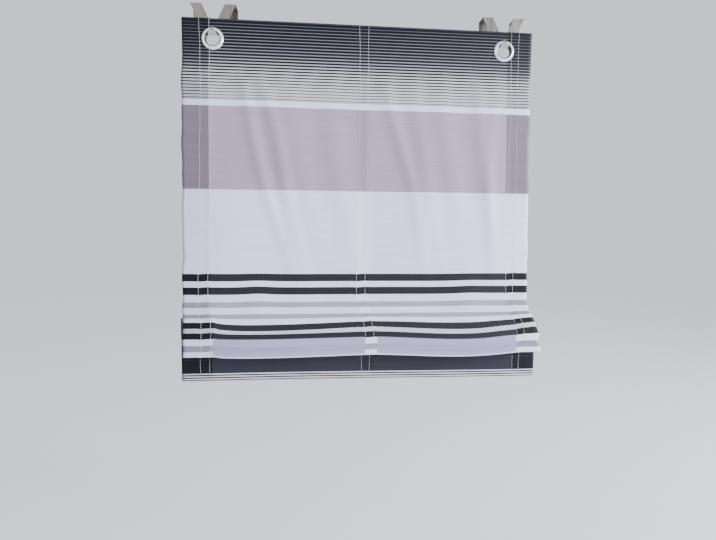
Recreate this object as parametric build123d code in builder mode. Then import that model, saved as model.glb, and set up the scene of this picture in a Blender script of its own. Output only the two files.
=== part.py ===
"""Roman blind, drawn up into folds and hung from a window sash on two steel hooks.

Frame: +Z up, the printed face looks along -Y, +X to the right. The origin is on the
sash's top edge, at the sash's front face, midway between the two hooks.
"""

import os
from math import acos, degrees, hypot, pi, radians, sin, sqrt, tan

from build123d import *

os.makedirs("parts", exist_ok=True)

# ---------------------------------------------------------------- driving sizes (mm)
# Cloth
blind_width = 600.0
cloth_thickness = 0.8
top_edge_drop = 25.0  # the cloth's top edge hangs this far below the sash's top edge
gather_drop = 475.0  # top edge of the cloth to the first ring of the gather
lean_out = 20.0  # how far the cloth leans away from the window at the first ring
lean_start_fall = 4.0  # the cloth stays upright this far below its top hem

# Folds: layer 0 is the front of the first fold, the last layer hangs down as the hem.
# A reach runs towards the room from the gather line, a fall runs down from it.
fold_count = 4
shoulder_reach = 22.0  # upper slope of the front fold
shoulder_fall = 25.0
belly_reach = 37.0  # widest point of the front fold
belly_fall = 55.0
fold_fall = 82.0  # bottom of the front fold
hidden_fold_rise = 3.0  # the folds behind the first end this much higher
hem_fall = 131.6  # bottom edge of the hem
neck_fall = 24.0  # the first drawn-up neck
neck_slope = 62.0  # degrees below level at which the layers fan out of their necks
least_bend = 1.0  # bend left inside the tape on the innermost layer
neck_margin = 0.6
belly_bend_extra = 6.0
inside_air = 1.6  # air between the two tapes inside a fold
between_air = 1.6  # air between two folds
front_shoulder_radius = 22.0
front_belly_radius = 30.0
lean_bend_radius = 60.0
u_bend_share = 0.999  # a turned-back edge is this share of a full half circle

# Hems
top_hem_depth = 56.0
bottom_hem_depth = 40.0
pocket_air = 0.3  # clearance on each side of the strip in a hem pocket
stiffener_width = 12.0
stiffener_thickness = 1.2
bar_width = 20.0
bar_thickness = 2.5
strip_edge_share = 0.98  # edge rounding, as a share of half the strip's thickness
strip_end_inset = 6.0  # both strips stop this far inside the cloth's side edges

# Gathering tapes and rings
tape_inset = 33.0  # cloth's side edge to the middle of the tape beside it
tape_width = 20.0
tape_thickness = 0.6
sewing_gap = 0.1
tape_start_fall = 2.0  # tape's upper end, below the top hem
tape_end_gap = 4.0  # tape end to the bottom pocket's upper edge
ring_bore = 5.0
ring_wire = 1.4
ring_gap = 0.1
anchor_fall = 8.0  # from the tape's upper end to the ring that the cord is knotted above
first_ring_rise = 8.0  # first gather ring, above the bend of the cloth

# Lift cords
cord_diameter = 1.8
cord_bend_share = 0.45  # share of the shorter run that its bend takes up
knot_oversize = 0.8  # a knot is this much thicker than a ring's bore

# Cord stoppers
barrel_length = 19.0
barrel_bore = 7.2
barrel_wall = 1.4
barrel_end_wall = 1.6
barrel_cord_play = 2.2  # cord hole's diameter over the cord's
barrel_edge_fillet = 0.7
barrel_tail = 11.0  # closed end of the barrel, from the cord's axis
plunger_clearance = 0.1
plunger_travel = 3.0
plunger_end_wall = 2.0
plunger_slot_play = 0.8  # slot's width over the cord's diameter
plunger_slot_end_play = 0.2
plunger_head_oversize = 1.6  # head's diameter over the barrel's bore
plunger_head_length = 3.0
plunger_head_fillet = 1.2
pinch_gap = 0.1
spring_wire = 0.5
spring_coil_play = 2.0  # barrel's bore over the coil's diameter
spring_coils = 4.5
spring_gap = 0.05

# Eyelets
eyelet_inset = 50.0  # cloth's side edge to the eyelet's centre
eyelet_drop = 33.3  # cloth's top edge to the eyelet's centre
eyelet_hole = 22.6
eyelet_flange_width = 6.7
eyelet_wall = 0.9
eyelet_crown = 2.4
eyelet_rim_back = 0.9
washer_width = 3.7
washer_thickness = 1.0
washer_edge_fillet = 0.3
lip_width = 1.3
lip_thickness = 0.7
eyelet_gap = 0.05
washer_clearance = 0.1

# Sash hooks
sash_thickness = 18.0
sash_clearance = 0.5
hook_thickness = 1.0
hook_leg_width = 16.5
hook_leg_angle = 25.5
hook_back_lip = 14.0
hook_hang_gap = 0.5  # eyelet's lip to the hook's plate
tongue_width = 14.4
tongue_tip_rise = 0.9  # tongue's tip above the eyelet's outer edge
tongue_gap = 0.25
tongue_seat_gap = 0.15
hook_neck_height = 5.0
hook_shoulder_rise = 4.0  # from the neck up to where the legs have their full width
hook_crotch_radius = 3.0
hook_fold_fillet = 0.98

# ---------------------------------------------------------------- derived places
top_z = -top_edge_drop
top_pocket_pitch = cloth_thickness + stiffener_thickness + 2 * pocket_air
bottom_pocket_pitch = cloth_thickness + bar_thickness + 2 * pocket_air
lip_back_y = -(hook_thickness + hook_hang_gap)
washer_back_y = lip_back_y - lip_thickness - eyelet_gap
hem_back_y = washer_back_y - washer_thickness - eyelet_gap
panel_y = hem_back_y - cloth_thickness / 2 - top_pocket_pitch  # middle of the front layer
panel_front_y = panel_y - cloth_thickness / 2
lean_start = top_hem_depth + lean_start_fall
gather_y = panel_y - lean_out
gather_z = top_z - gather_drop
belly_y = gather_y - belly_reach
hem_z = gather_z - hem_fall
tape_back = cloth_thickness / 2 + sewing_gap + tape_thickness
inside_pitch = cloth_thickness + 2 * (sewing_gap + tape_thickness) + inside_air
between_pitch = cloth_thickness + between_air
last_layer = 2 * fold_count
ring_radius = (ring_bore + ring_wire) / 2
ring_centre_offset = tape_back + ring_gap + ring_radius + ring_wire / 2
eyelet_z = top_z - eyelet_drop
tape_start = top_hem_depth + tape_start_fall
tape_end_z = hem_z + bottom_hem_depth + tape_end_gap
anchor_drop = tape_start + anchor_fall
knot_diameter = ring_bore + knot_oversize
barrel_diameter = barrel_bore + 2 * barrel_wall
barrel_cord_hole = cord_diameter + barrel_cord_play
plunger_slot_width = cord_diameter + plunger_slot_play
plunger_head_diameter = barrel_bore + plunger_head_oversize
spring_coil_diameter = barrel_bore - spring_coil_play
hole_radius = eyelet_hole / 2
eyelet_radius = hole_radius + eyelet_flange_width
eyelet_tube_radius = hole_radius + eyelet_wall
lip_radius = eyelet_tube_radius + lip_width
washer_radius = eyelet_tube_radius + washer_clearance + washer_width
eyelet_places = {"left": eyelet_inset - blind_width / 2, "right": blind_width / 2 - eyelet_inset}
tape_centres = {
    "left": tape_inset - blind_width / 2,
    "centre": 0.0,
    "right": blind_width / 2 - tape_inset,
}


def layer_shift(layer):
    """Distance of a layer behind layer 0, measured through the stack."""
    return (layer + 1) // 2 * inside_pitch + layer // 2 * between_pitch


def neck_z(layer):
    """Height of a layer's neck: layer 1 is the highest."""
    return gather_z - neck_fall - layer_shift(layer) + layer_shift(1)


def parallel(points, radii, shift):
    """Corners and radii of the line that runs shift to the left of a rounded polyline."""
    corners = []
    bends = []
    count = len(points)
    for index, (y, z) in enumerate(points):
        normals = []
        for start in (index - 1, index):
            if 0 <= start < count - 1:
                along_y = points[start + 1][0] - points[start][0]
                along_z = points[start + 1][1] - points[start][1]
                run = hypot(along_y, along_z)
                normals.append((-along_z / run, along_y / run))
        first, last = normals[0], normals[-1]
        mitre = shift / (1 + first[0] * last[0] + first[1] * last[1])
        if len(normals) == 1:
            mitre = shift / 2
        corners.append((y + mitre * (first[0] + last[0]), z + mitre * (first[1] + last[1])))
        if len(normals) == 2:
            left_turn = first[0] * last[1] - first[1] * last[0] > 0
            bends.append(radii[index - 1] + (-shift if left_turn else shift))
    return corners, bends


def strip_outline(points, radii, near, far):
    """Closed section of a strip that lies between two distances left of a path."""
    near_points, near_radii = parallel(points, radii, near)
    far_points, far_radii = parallel(points, radii, far)
    with BuildLine(Plane.XY) as outline:
        FilletPolyline(*near_points, radius=near_radii)
        FilletPolyline(*far_points, radius=far_radii)
        Line(near_points[0], far_points[0])
        Line(near_points[-1], far_points[-1])
    return outline.edges()


# ---------------------------------------------------------------- path of the cloth
# Corners (y, z) and bend radii, from the panel's upright top down through the folds.
# The back of the cloth is always on the left of the path.
fold_corners = [
    ((panel_y, top_z - lean_start), lean_bend_radius),
    ((gather_y, gather_z), front_shoulder_radius),
    ((gather_y - shoulder_reach, gather_z - shoulder_fall), front_shoulder_radius),
    ((belly_y, gather_z - belly_fall), front_belly_radius),
]
neck_bend = layer_shift(last_layer) - layer_shift(1) + tape_back + least_bend
belly_bend = neck_bend + belly_bend_extra
neck_reach = neck_bend * tan(radians(neck_slope / 2)) + between_pitch / 2 + neck_margin
inner_belly_y = belly_y + layer_shift(1)
fan_fall = (gather_y - neck_reach - inner_belly_y) * tan(radians(neck_slope))
first_neck = [
    (gather_y, neck_z(1)),
    (gather_y - neck_reach, neck_z(1)),
    (inner_belly_y, neck_z(1) - fan_fall),
    (inner_belly_y, gather_z - fold_fall),
]
for fold in range(fold_count):
    front_layer, back_layer = 2 * fold, 2 * fold + 1
    bottom_z = gather_z - fold_fall + (hidden_fold_rise if fold else 0)
    for layer in (front_layer, back_layer):
        fold_corners.append(((belly_y + layer_shift(layer), bottom_z), inside_pitch / 2 * u_bend_share))
    bends = (neck_bend, belly_bend)
    up, up_radii = parallel(first_neck, bends, layer_shift(back_layer) - layer_shift(1))
    down, down_radii = parallel(first_neck, bends, layer_shift(back_layer + 1) - layer_shift(1))
    fold_corners.append((up[2], up_radii[1]))
    fold_corners.append((up[1], up_radii[0]))
    for layer in (back_layer, back_layer + 1):
        fold_corners.append(((gather_y, neck_z(layer)), between_pitch / 2 * u_bend_share))
    fold_corners.append((down[1], down_radii[0]))
    fold_corners.append((down[2], down_radii[1]))

hem_y = belly_y + layer_shift(last_layer)
cloth_path = [
    (panel_y + top_pocket_pitch, top_z - top_hem_depth),
    (panel_y + top_pocket_pitch, top_z - cloth_thickness / 2),
    (panel_y, top_z - cloth_thickness / 2),
    *[corner for corner, radius in fold_corners],
    (hem_y, hem_z),
    (hem_y + bottom_pocket_pitch, hem_z),
    (hem_y + bottom_pocket_pitch, hem_z + bottom_hem_depth),
]
cloth_radii = [
    top_pocket_pitch / 2 * u_bend_share,
    top_pocket_pitch / 2 * u_bend_share,
    *[radius for corner, radius in fold_corners],
    bottom_pocket_pitch / 2 * u_bend_share,
    bottom_pocket_pitch / 2 * u_bend_share,
]
tape_path = [
    (panel_y, top_z - tape_start),
    *[corner for corner, radius in fold_corners],
    (hem_y, tape_end_z),
]
tape_radii = [radius for corner, radius in fold_corners]


def write(block, name):
    """Label a finished sub-part and write its STEP file."""
    block.part.label = name
    export_step(block.part, f"parts/{name}.step")


# ---------------------------------------------------------------- cloth
with BuildPart() as fabric_panel:
    with BuildSketch(Plane.YZ.offset(-blind_width / 2)):
        half = cloth_thickness / 2
        make_face(strip_outline(cloth_path, cloth_radii, -half, half))
    extrude(amount=blind_width)
    cut_length = fabric_panel.part.volume / (cloth_thickness * blind_width)
    with BuildSketch(Plane.XZ.offset(-panel_y - 2 * top_pocket_pitch)):
        with Locations(*[(x, eyelet_z) for x in eyelet_places.values()]):
            Circle(eyelet_tube_radius + washer_clearance)
    extrude(amount=4 * top_pocket_pitch, mode=Mode.SUBTRACT)
write(fabric_panel, "fabric_panel")

let_down = cut_length - top_hem_depth - bottom_hem_depth
print(f"cloth: {cut_length:.0f} mm cut, {let_down:.0f} mm let down")

# ---------------------------------------------------------------- strips in the hems
strip_length = blind_width - 2 * strip_end_inset
stiffener_y = panel_y + top_pocket_pitch / 2
stiffener_z = top_z - cloth_thickness - pocket_air - stiffener_width / 2
with BuildPart() as top_stiffener:
    with BuildSketch(Plane.YZ.offset(-strip_length / 2)):
        with Locations((stiffener_y, stiffener_z)):
            stiffener_edge = stiffener_thickness / 2 * strip_edge_share
            RectangleRounded(stiffener_thickness, stiffener_width, stiffener_edge)
    extrude(amount=strip_length)
write(top_stiffener, "top_stiffener")

bar_y = hem_y + bottom_pocket_pitch / 2
bar_z = hem_z + cloth_thickness / 2 + pocket_air + bar_width / 2
with BuildPart() as weight_bar:
    with BuildSketch(Plane.YZ.offset(-strip_length / 2)):
        with Locations((bar_y, bar_z)):
            RectangleRounded(bar_thickness, bar_width, bar_thickness / 2 * strip_edge_share)
    extrude(amount=strip_length)
write(weight_bar, "weight_bar")

# ---------------------------------------------------------------- tapes, rings, cords, stoppers
lean_slope = lean_out / (gather_drop - lean_start)


def panel_y_at(drop):
    """Middle of the cloth's front panel at a distance below its top edge."""
    return panel_y - lean_slope * max(0.0, drop - lean_start)


anchor = (panel_y_at(anchor_drop) + ring_centre_offset, top_z - anchor_drop)
first_ring_drop = gather_drop - first_ring_rise
ring_places = [(panel_y_at(first_ring_drop) + ring_centre_offset, top_z - first_ring_drop)]
for fold in range(fold_count):
    middle_z = (neck_z(2 * fold + 1) + neck_z(2 * fold + 2)) / 2
    ring_places.append((gather_y + ring_centre_offset, middle_z))
cord_y, last_ring_z = ring_places[-1]
stopper_z = last_ring_z - ring_wire / 2 - ring_gap - barrel_diameter / 2
knot_rise = sqrt((knot_diameter / 2 + ring_wire / 2 + ring_gap) ** 2 - ring_radius**2)
top_knot = (anchor[0], anchor[1] + knot_rise)
end_knot = (cord_y, stopper_z - barrel_diameter / 2 - pocket_air - knot_diameter / 2)
cord_points = [top_knot, (cord_y, top_z - first_ring_drop), end_knot]
upper_run = hypot(cord_points[1][0] - top_knot[0], cord_points[1][1] - top_knot[1])
lower_run = cord_points[1][1] - end_knot[1]
cord_turn = acos((top_knot[1] - cord_points[1][1]) / upper_run)
cord_bend = cord_bend_share * min(upper_run, lower_run) / tan(cord_turn / 2)
print("cord: turn", round(degrees(cord_turn), 2), "degrees, radius", round(cord_bend), "mm")

slot_start = -cord_diameter / 2 - pinch_gap
slot_length = cord_diameter + 2 * pinch_gap + plunger_travel + plunger_slot_end_play
plunger_inner_end = slot_start - plunger_end_wall
barrel_open_end = barrel_length - barrel_tail
head_start = barrel_open_end + plunger_travel + pocket_air
bore_bottom = barrel_end_wall - barrel_tail
hole_shift = -(barrel_cord_hole / 2 - cord_diameter / 2 - pinch_gap)
plunger_radius = barrel_bore / 2 - plunger_clearance
spring_room = plunger_inner_end - bore_bottom
spring_height = spring_room - spring_wire - 2 * spring_gap

for side, tape_x in tape_centres.items():
    with BuildPart() as gathering_tape:
        with BuildSketch(Plane.YZ.offset(tape_x - tape_width / 2)):
            tape_front = cloth_thickness / 2 + sewing_gap
            make_face(strip_outline(tape_path, tape_radii, tape_front, tape_back))
        extrude(amount=tape_width)
    write(gathering_tape, f"gathering_tape_{side}")

    with BuildPart() as cord_rings:
        with Locations(*[(tape_x, y, z) for y, z in [anchor, *ring_places]]):
            Torus(ring_radius, ring_wire / 2)
    write(cord_rings, f"cord_rings_{side}")

    with BuildPart() as lift_cord:
        with BuildLine(Plane.YZ.offset(tape_x)) as route:
            FilletPolyline(*cord_points, radius=[cord_bend])
        with BuildSketch(Plane(origin=route.line @ 0, z_dir=route.line % 0)):
            Circle(cord_diameter / 2)
        sweep(path=route.line)
        cord_volume = lift_cord.part.volume
        with Locations((tape_x, *top_knot), (tape_x, *end_knot)):
            Sphere(knot_diameter / 2)
    write(lift_cord, f"lift_cord_{side}")
    cord_length = sum(edge.length for edge in route.edges())
    section = pi * cord_diameter**2 / 4
    print(f"cord {side}: {cord_length:.1f} mm, volume ratio",
          f"{cord_volume / section / cord_length:.4f}")

    stopper = (tape_x, cord_y, stopper_z)
    across = Plane(origin=stopper, x_dir=(0, 1, 0), z_dir=(1, 0, 0))
    level = Plane(origin=stopper)
    with BuildPart() as stopper_barrel:
        with BuildSketch(across.offset(-barrel_tail)):
            Circle(barrel_diameter / 2)
        extrude(amount=barrel_length)
        fillet(stopper_barrel.edges().filter_by(GeomType.CIRCLE), barrel_edge_fillet)
        with BuildSketch(across.offset(bore_bottom)):
            Circle(barrel_bore / 2)
        extrude(amount=barrel_length, mode=Mode.SUBTRACT)
        with BuildSketch(level):
            with Locations((hole_shift, 0)):
                Circle(barrel_cord_hole / 2)
        extrude(amount=barrel_diameter, both=True, mode=Mode.SUBTRACT)
    write(stopper_barrel, f"stopper_barrel_{side}")

    with BuildPart() as stopper_plunger:
        with BuildSketch(across.offset(plunger_inner_end)):
            Circle(plunger_radius)
        extrude(amount=head_start - plunger_inner_end)
        with BuildSketch(across.offset(head_start)):
            Circle(plunger_head_diameter / 2)
        extrude(amount=plunger_head_length)
        head_edge = stopper_plunger.edges().filter_by(GeomType.CIRCLE).sort_by(Axis.X)[-1]
        fillet(head_edge, plunger_head_fillet)
        with BuildSketch(level):
            with Locations((slot_start + slot_length / 2, 0)):
                SlotOverall(slot_length, plunger_slot_width)
        extrude(amount=barrel_diameter, both=True, mode=Mode.SUBTRACT)
    write(stopper_plunger, f"stopper_plunger_{side}")

    coil_start = bore_bottom + spring_wire / 2 + spring_gap
    coil_centre = (tape_x + coil_start, cord_y, stopper_z)
    with BuildPart() as stopper_spring:
        with BuildLine() as coil:
            Helix(
                pitch=spring_height / spring_coils,
                height=spring_height,
                radius=(spring_coil_diameter - spring_wire) / 2,
                center=coil_centre,
                direction=(1, 0, 0),
            )
        with BuildSketch(Plane(origin=coil.line @ 0, z_dir=coil.line % 0)):
            Circle(spring_wire / 2)
        sweep(path=coil.line, is_frenet=True)
    write(stopper_spring, f"stopper_spring_{side}")

# ---------------------------------------------------------------- eyelets and hooks
flange_back_y = panel_front_y - eyelet_gap
lip_front_y = lip_back_y - lip_thickness
bridge_top = sqrt((hole_radius - tongue_seat_gap) ** 2 - (tongue_width / 2) ** 2)
bridge_bottom = bridge_top - hook_thickness
tongue_back_y = flange_back_y - eyelet_crown - tongue_gap
tongue_front_y = tongue_back_y - hook_thickness
leg_slope = tan(radians(hook_leg_angle))
leg_half_width = hook_leg_width / 2 / sin(radians(90 - hook_leg_angle))
crotch_height = leg_half_width / leg_slope
plate_height = -eyelet_z + hook_thickness
hook_neck_top = bridge_bottom + hook_neck_height
hook_shoulder_height = hook_neck_top + hook_shoulder_rise
hook_shoulder_reach = leg_slope * hook_shoulder_height + leg_half_width
strap_reach = sash_thickness + sash_clearance + hook_thickness
leg_top_centre = leg_slope * plate_height

for side, eyelet_x in eyelet_places.items():
    centre = (eyelet_x, 0, eyelet_z)
    radial = Plane(origin=centre, x_dir=(0, 1, 0), z_dir=(1, 0, 0))
    with BuildPart() as eyelet_front:
        with BuildSketch(radial):
            with BuildLine():
                crown = (flange_back_y - eyelet_crown, (eyelet_radius + hole_radius) / 2)
                inner_rim = (flange_back_y - eyelet_rim_back, hole_radius)
                ThreePointArc((flange_back_y, eyelet_radius), crown, inner_rim)
                Polyline(
                    inner_rim,
                    (lip_back_y, hole_radius),
                    (lip_back_y, lip_radius),
                    (lip_front_y, lip_radius),
                    (lip_front_y, eyelet_tube_radius),
                    (flange_back_y, eyelet_tube_radius),
                    (flange_back_y, eyelet_radius),
                )
            make_face()
        revolve(axis=Axis(centre, (0, 1, 0)))
    write(eyelet_front, f"eyelet_front_{side}")

    with BuildPart() as eyelet_washer:
        with BuildSketch(Plane.XZ.offset(-washer_back_y)):
            with Locations((eyelet_x, eyelet_z)):
                Circle(washer_radius)
                Circle(eyelet_tube_radius + washer_clearance, mode=Mode.SUBTRACT)
        extrude(amount=washer_thickness)
        fillet(eyelet_washer.edges().filter_by(GeomType.CIRCLE).group_by(Axis.Y)[-1], washer_edge_fillet)
    write(eyelet_washer, f"eyelet_washer_{side}")

    with BuildPart() as sash_hook:
        with BuildSketch(Plane(origin=centre, x_dir=(1, 0, 0), z_dir=(0, -1, 0))):
            with BuildLine():
                Polyline(
                    (-tongue_width / 2, bridge_bottom),
                    (tongue_width / 2, bridge_bottom),
                    (tongue_width / 2, hook_neck_top),
                    (hook_shoulder_reach, hook_shoulder_height),
                    (leg_top_centre + leg_half_width, plate_height),
                    (leg_top_centre - leg_half_width, plate_height),
                    (0, crotch_height),
                    (-leg_top_centre + leg_half_width, plate_height),
                    (-leg_top_centre - leg_half_width, plate_height),
                    (-hook_shoulder_reach, hook_shoulder_height),
                    (-tongue_width / 2, hook_neck_top),
                    close=True,
                )
            make_face()
        extrude(amount=hook_thickness)
        crotch_edge = sash_hook.edges().filter_by(Axis.Y).filter_by_position(
            Axis.Z, eyelet_z + crotch_height - 0.1, eyelet_z + crotch_height + 0.1
        )
        fillet(crotch_edge, hook_crotch_radius)
        # bridge through the eyelet, then the pointed tongue in front of its flange
        with BuildSketch(Plane.XZ):
            with Locations((eyelet_x, eyelet_z + (bridge_top + bridge_bottom) / 2)):
                Rectangle(tongue_width, hook_thickness)
        extrude(amount=-tongue_front_y)
        with BuildSketch(Plane.XZ.offset(-tongue_back_y)):
            with BuildLine():
                Polyline(
                    (eyelet_x - tongue_width / 2, eyelet_z + bridge_bottom),
                    (eyelet_x + tongue_width / 2, eyelet_z + bridge_bottom),
                    (eyelet_x, eyelet_z + eyelet_radius + tongue_tip_rise),
                    close=True,
                )
            make_face()
        extrude(amount=hook_thickness)
        # each leg folds back over the sash and down behind it
        with BuildSketch(Plane.XY):
            with Locations(
                (eyelet_x - leg_top_centre, (strap_reach - hook_thickness) / 2),
                (eyelet_x + leg_top_centre, (strap_reach - hook_thickness) / 2),
            ):
                Rectangle(2 * leg_half_width, strap_reach + hook_thickness)
        extrude(amount=hook_thickness)
        with BuildSketch(Plane.XZ.offset(hook_thickness - strap_reach)):
            with Locations(
                (eyelet_x - leg_top_centre, (hook_thickness - hook_back_lip) / 2),
                (eyelet_x + leg_top_centre, (hook_thickness - hook_back_lip) / 2),
            ):
                Rectangle(2 * leg_half_width, hook_back_lip + hook_thickness)
        extrude(amount=-hook_thickness)
        outer_bends = sash_hook.edges().filter_by(Axis.X).group_by(Axis.Z)[-1]
        fillet(outer_bends, hook_fold_fillet)
    write(sash_hook, f"sash_hook_{side}")
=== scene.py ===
# %% [markdown]
# # A roman blind, drawn up and hung from a window sash
# The blind is one long piece of printed cloth. Three tapes with rings are sewn to its
# back, and a cord runs through the rings of each tape, so that the lower part of the
# cloth is drawn up into folds. The hooks, eyelets, rings and cord stoppers come ready
# from the construction model. This lesson makes what is soft around them, the cloth, its
# tapes and its stitching, and then gives every piece its finish.

# %% Load the construction model
import math

import bmesh
import bpy
import numpy as np
from mathutils import Matrix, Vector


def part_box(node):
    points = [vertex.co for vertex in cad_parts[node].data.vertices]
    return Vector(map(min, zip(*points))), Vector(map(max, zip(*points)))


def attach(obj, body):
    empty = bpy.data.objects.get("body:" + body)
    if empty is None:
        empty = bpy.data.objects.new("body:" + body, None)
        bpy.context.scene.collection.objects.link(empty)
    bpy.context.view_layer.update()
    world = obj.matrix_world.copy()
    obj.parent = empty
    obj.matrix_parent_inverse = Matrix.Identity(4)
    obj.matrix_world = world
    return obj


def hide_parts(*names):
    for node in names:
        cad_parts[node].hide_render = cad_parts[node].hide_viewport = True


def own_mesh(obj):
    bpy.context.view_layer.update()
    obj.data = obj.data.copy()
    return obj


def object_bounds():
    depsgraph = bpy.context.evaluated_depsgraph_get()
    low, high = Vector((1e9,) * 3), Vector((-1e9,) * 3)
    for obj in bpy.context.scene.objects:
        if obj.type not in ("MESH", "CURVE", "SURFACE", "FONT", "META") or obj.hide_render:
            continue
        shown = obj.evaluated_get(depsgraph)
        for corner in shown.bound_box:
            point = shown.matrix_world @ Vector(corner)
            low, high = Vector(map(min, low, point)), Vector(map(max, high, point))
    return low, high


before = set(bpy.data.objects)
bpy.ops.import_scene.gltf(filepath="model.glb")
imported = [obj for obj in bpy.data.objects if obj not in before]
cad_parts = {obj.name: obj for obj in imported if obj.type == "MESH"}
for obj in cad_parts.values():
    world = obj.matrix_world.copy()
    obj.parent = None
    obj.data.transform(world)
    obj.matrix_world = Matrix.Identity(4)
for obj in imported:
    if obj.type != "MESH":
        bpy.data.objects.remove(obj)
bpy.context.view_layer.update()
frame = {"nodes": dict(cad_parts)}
MM = 0.001
SIDES = ("left", "centre", "right")
print("construction model:", len(frame["nodes"]), "nodes")

# %% [markdown]
# ## The camera
# The blind is seen from the room, a little from its left and from just below its middle.
# A camera starts out looking straight down. It is rolled a little about its own axis,
# raised until it looks at the cloth, and then turned to the right. A short lens stands
# close, so the folds that bulge towards the room look larger than the panel behind them.

# %% Camera
CAMERA_PLACE = (-0.0695, -0.766, -0.386)
LENS, SENSOR = 21.62, 36.0
LOOK_DOWN, LOOK_RIGHT, ROLL = 4.35, 4.83, 0.35

camera = bpy.data.objects.new("camera", bpy.data.cameras.new("camera"))
bpy.context.scene.collection.objects.link(camera)
camera.data.sensor_width = SENSOR
camera.data.lens = LENS
camera.data.clip_start = 0.01
turn = Matrix.Rotation(math.radians(-LOOK_RIGHT), 4, "Z")
turn = turn @ Matrix.Rotation(math.radians(90 - LOOK_DOWN), 4, "X")
turn = turn @ Matrix.Rotation(math.radians(ROLL), 4, "Z")
camera.matrix_world = Matrix.Translation(CAMERA_PLACE) @ turn
bpy.context.scene.camera = camera
print("camera at", CAMERA_PLACE)

# %% [markdown]
# ## The path of the cloth
# Seen from the side, the cloth is a single line. It starts at the lower edge of the top
# hem, turns over the top, leans slowly away from the window, bulges forward into the
# front fold and then runs up and down through the hidden folds until it hangs out as the
# bottom hem. A line of corners with a bend radius at each one says all of that in a few
# numbers. The same sizes built the solid cloth, so the two lie in the same place.

# %% Sizes of the cloth, in millimetres
CLOTH = 0.8
WIDTH = 600.0
TOP_Z = -25.0
PANEL_Y = -6.3
TOP_HEM, BOTTOM_HEM = 56.0, 40.0
TOP_PITCH, BOTTOM_PITCH = 2.6, 3.9
LEAN_START = 60.0
GATHER_Y, GATHER_Z = -26.3, -500.0
BELLY_Y = -63.3
FOLD_Z, HIDDEN_FOLD_Z = -582.0, -579.0
HEM_Z = -631.6
INSIDE, BETWEEN = 3.8, 2.4
FOLDS = 4
NECK_SLOPE = math.radians(62)
NECK_BEND = FOLDS * (INSIDE + BETWEEN) - INSIDE + 2.1
NECK_REACH = NECK_BEND * math.tan(NECK_SLOPE / 2) + BETWEEN / 2 + 0.6
U_BEND = 0.999


def layer_shift(layer):
    """How far a layer lies behind the front one: one pitch inside a fold, one between."""
    return (layer + 1) // 2 * INSIDE + layer // 2 * BETWEEN


def neck_z(layer):
    """Height at which a layer turns back behind the gathering line."""
    return GATHER_Z - 24.0 - layer_shift(layer) + layer_shift(1)


def beside(points, radii, shift):
    """Corners and radii of the line that runs a fixed distance to the left of another.

    Each corner moves along the mitre of its two runs. A bend to the left gets tighter by
    the distance, and a bend to the right gets wider by it.
    """
    points = np.array(points, float)
    runs = np.diff(points, axis=0)
    runs /= np.linalg.norm(runs, axis=1)[:, None]
    normals = np.stack([-runs[:, 1], runs[:, 0]], axis=1)
    before = np.vstack([normals[:1], normals])
    after = np.vstack([normals, normals[-1:]])
    mitre = shift / (1 + np.sum(before * after, axis=1))
    corners = points + (before + after) * mitre[:, None]
    turns = before[1:-1, 0] * after[1:-1, 1] - before[1:-1, 1] * after[1:-1, 0]
    return corners, np.array(radii) - shift * np.sign(turns)


def fold_corners():
    """Corners (y, z) and bend radii from the upright top down through all the folds."""
    inner_y = BELLY_Y + INSIDE
    fall = (GATHER_Y - NECK_REACH - inner_y) * math.tan(NECK_SLOPE)
    first_neck = [
        (GATHER_Y, neck_z(1)),
        (GATHER_Y - NECK_REACH, neck_z(1)),
        (inner_y, neck_z(1) - fall),
        (inner_y, FOLD_Z),
    ]
    bends = (NECK_BEND, NECK_BEND + 6.0)
    corners = [
        ((PANEL_Y, TOP_Z - LEAN_START), 60.0),
        ((GATHER_Y, GATHER_Z), 22.0),
        ((GATHER_Y - 22.0, GATHER_Z - 25.0), 22.0),
        ((BELLY_Y, GATHER_Z - 55.0), 30.0),
    ]
    for fold in range(FOLDS):
        front, back = 2 * fold, 2 * fold + 1
        bottom = HIDDEN_FOLD_Z if fold else FOLD_Z
        for layer in (front, back):
            corners.append(((BELLY_Y + layer_shift(layer), bottom), INSIDE / 2 * U_BEND))
        up, up_bends = beside(first_neck, bends, layer_shift(back) - INSIDE)
        down, down_bends = beside(first_neck, bends, layer_shift(back + 1) - INSIDE)
        corners += [(tuple(up[2]), up_bends[1]), (tuple(up[1]), up_bends[0])]
        for layer in (back, back + 1):
            corners.append(((GATHER_Y, neck_z(layer)), BETWEEN / 2 * U_BEND))
        corners += [(tuple(down[1]), down_bends[0]), (tuple(down[2]), down_bends[1])]
    return corners


HEM_Y = BELLY_Y + layer_shift(2 * FOLDS)
middle = fold_corners()
path_points = [
    (PANEL_Y + TOP_PITCH, TOP_Z - TOP_HEM),
    (PANEL_Y + TOP_PITCH, TOP_Z - CLOTH / 2),
    (PANEL_Y, TOP_Z - CLOTH / 2),
    *[corner for corner, bend in middle],
    (HEM_Y, HEM_Z),
    (HEM_Y + BOTTOM_PITCH, HEM_Z),
    (HEM_Y + BOTTOM_PITCH, HEM_Z + BOTTOM_HEM),
]
path_bends = [
    *[TOP_PITCH / 2 * U_BEND] * 2,
    *[bend for corner, bend in middle],
    *[BOTTOM_PITCH / 2 * U_BEND] * 2,
]


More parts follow.
